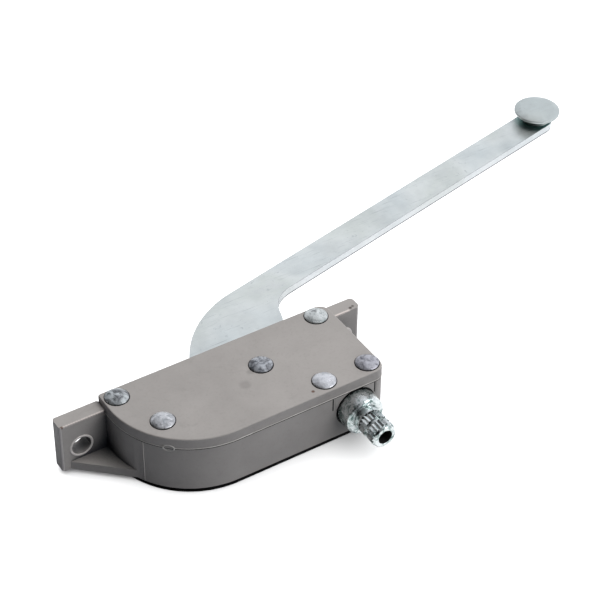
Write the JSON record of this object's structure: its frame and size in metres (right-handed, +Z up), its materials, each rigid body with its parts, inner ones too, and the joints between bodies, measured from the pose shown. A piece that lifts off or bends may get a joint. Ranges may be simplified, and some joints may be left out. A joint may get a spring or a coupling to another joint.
{
  "type": "casement window operator",
  "caption": "Single-arm casement window operator: splined crank shaft and worm in a riveted casing swing a flat gooseneck arm with a track button.",
  "frame": {"origin": "midway between the centres of the two ear holes, on the back mounting plane", "axes": "+X from the left ear to the right ear, +Y out of the back where the arm leaves, +Z up through the cover"},
  "size_m": [0.2596, 0.129, 0.026],
  "materials": {
    "casing_paint": "satin taupe coat on a zinc die casting",
    "rivet_metal": "zinc-plated, mottled",
    "arm_zinc": "clear blue zinc plate",
    "button_zinc": "zinc-plated",
    "shaft_zinc": "bright zinc plate",
    "plain_steel": "plain",
    "bronze": "plain",
    "acetal": "natural",
    "seal_rubber": "matt"
  },
  "bodies": {
    "casing": {"base_housing": "casing_paint", "cover_plate": "casing_paint", "cover_rivets": "rivet_metal", "pivot_rivet": "rivet_metal", "pivot_sleeve": "bronze", "lower_pivot_washer": "plain_steel", "upper_pivot_washer": "plain_steel", "front_bearing": "acetal", "rear_bearing": "acetal", "front_thrust_washer": "plain_steel", "rear_thrust_washer": "plain_steel", "shaft_seal": "seal_rubber"},
    "arm": {"operator_arm": "arm_zinc", "lower_gear_plate": "arm_zinc", "upper_gear_plate": "arm_zinc", "gear_rivets": "rivet_metal", "track_button": "button_zinc", "button_washer": "plain_steel"},
    "worm": {"worm_shaft": "shaft_zinc"}
  },
  "joints": [
    {"name": "arm_swing", "type": "hinge", "parent": "casing", "child": "arm", "pos_m": [0.0119, -0.0162, 0.0018], "axis": [0, 0, 1], "range_deg": [-12.5, 76]},
    {"name": "worm_spin", "type": "hinge", "parent": "casing", "child": "worm", "pos_m": [0.0354, -0.02, 0.0018], "axis": [0, 1, 0], "range_deg": [-2130, 360]}
  ],
  "couplings": [
    {"joint": "worm_spin", "follows": "arm_swing", "ratio": -28}
  ]
}
